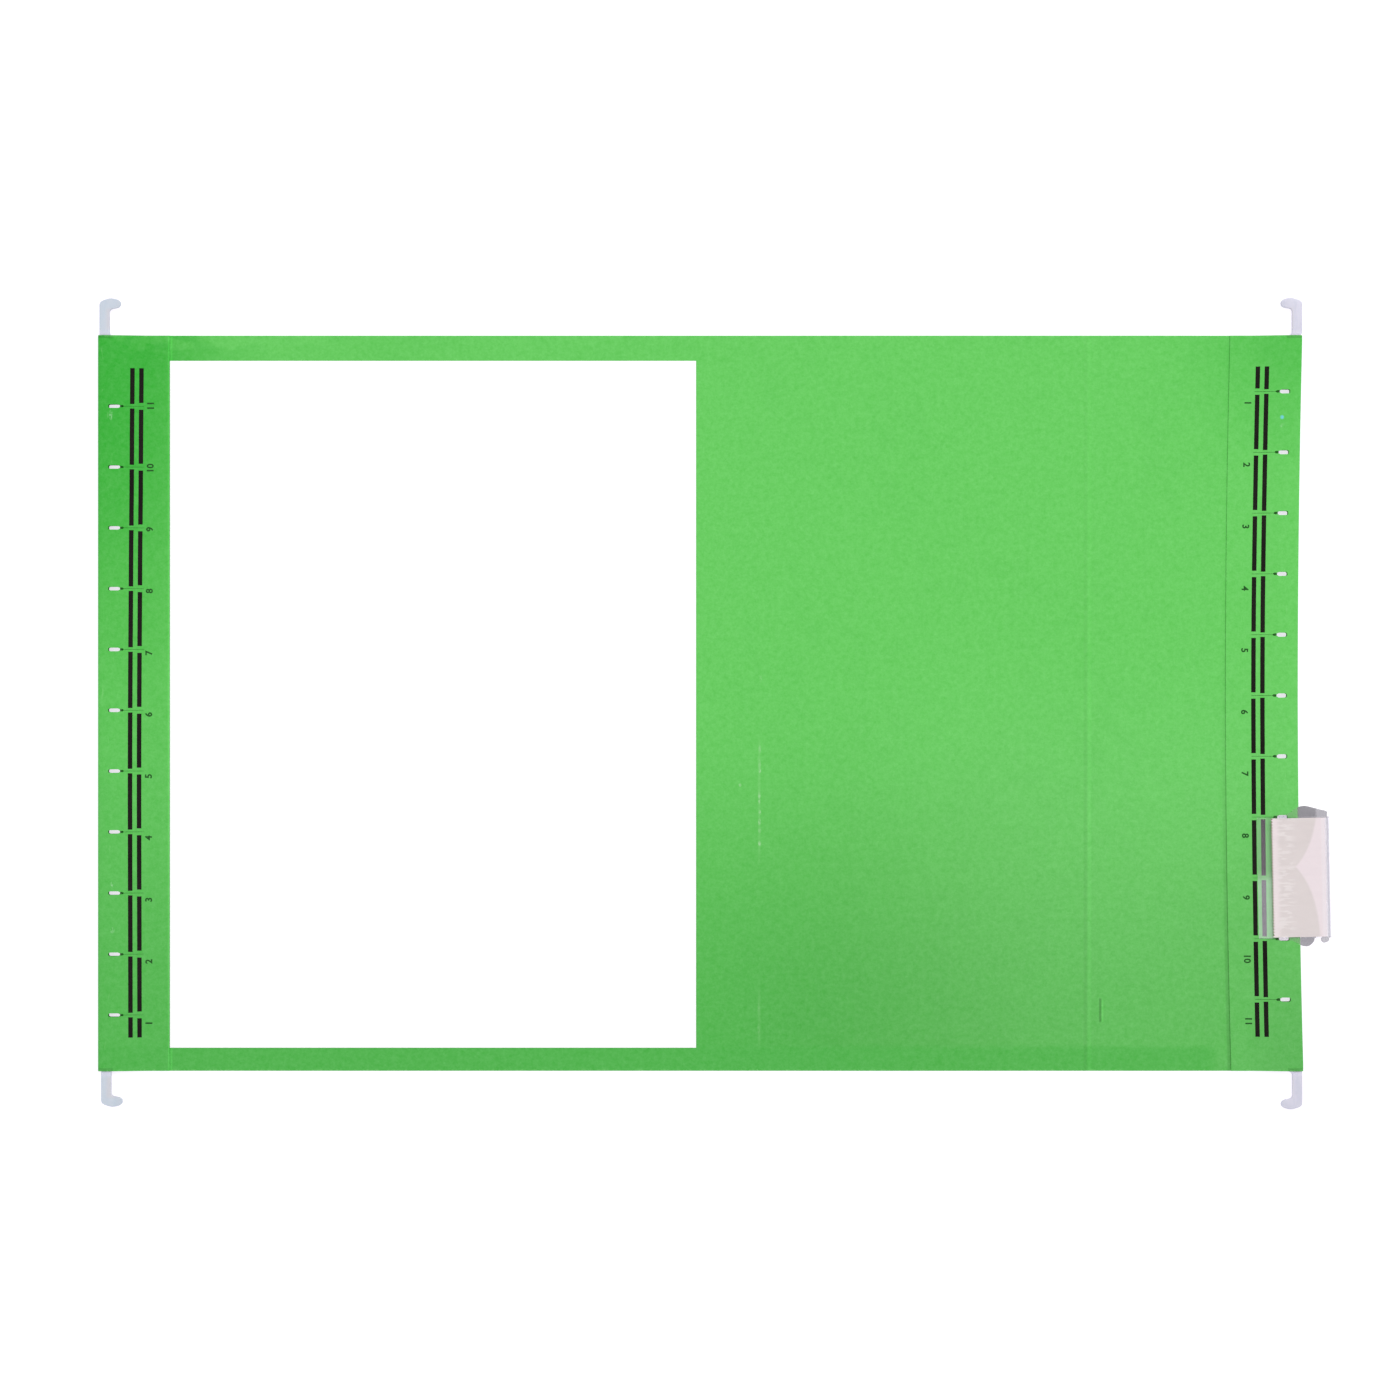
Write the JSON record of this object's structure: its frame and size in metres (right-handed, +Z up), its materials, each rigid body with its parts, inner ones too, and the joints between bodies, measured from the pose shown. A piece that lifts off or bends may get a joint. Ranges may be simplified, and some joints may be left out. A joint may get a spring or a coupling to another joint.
{
  "type": "hanging file folder",
  "caption": "Green card suspension file laid open: hems hold steel hanger bars with plastic rail hooks; slotted, numbered hems and a clear clip-on index tab with a label.",
  "frame": {"origin": "middle of the base strip, on the folder's underside, with the folder open flat", "axes": "+X towards the front panel that carries the index tab, +Y along the hanger bars, +Z up out of the open folder"},
  "size_m": [0.5329, 0.3507, 0.0042],
  "materials": {
    "green_card": "uncoated card with a slight fibre mottle",
    "hem_glue": "dried glue",
    "bar_steel": "zinc plated",
    "hook_plastic": "satin moulded",
    "white_paper": "plain",
    "clear_plastic": "clear, glossy",
    "label_paper": "thin card, perforated edge"
  },
  "bodies": {
    "base": {"base_panel_card": "green_card"},
    "front_panel": {"front_panel_card": "green_card", "front_hem_glue": "hem_glue", "front_hanger_bar": "bar_steel", "front_hook_left": "hook_plastic", "front_hook_right": "hook_plastic"},
    "back_panel": {"back_panel_card": "green_card", "back_hem_glue": "hem_glue", "back_hanger_bar": "bar_steel", "back_hook_left": "hook_plastic", "back_hook_right": "hook_plastic", "document_sheet": "white_paper"},
    "index_tab": {"tab_sleeve": "clear_plastic"},
    "label": {"tab_label": "label_paper"}
  },
  "joints": [
    {"name": "front_fold", "type": "hinge", "parent": "base", "child": "front_panel", "pos_m": [0.0257, 0, 0.0003], "axis": [0, -1, 0], "range_deg": [0, 94]},
    {"name": "back_fold", "type": "hinge", "parent": "base", "child": "back_panel", "pos_m": [-0.0257, 0, 0.0003], "axis": [0, 1, 0], "range_deg": [0, 94], "deforming": ["document_sheet"]},
    {"name": "tab_lift", "type": "slide", "parent": "front_panel", "child": "index_tab", "axis": [0, 0, 1], "range_m": [0, 0.006]},
    {"name": "label_slide", "type": "slide", "parent": "index_tab", "child": "label", "axis": [-0.0201, 0.9998, 0], "range_m": [0, 0.055]}
  ]
}
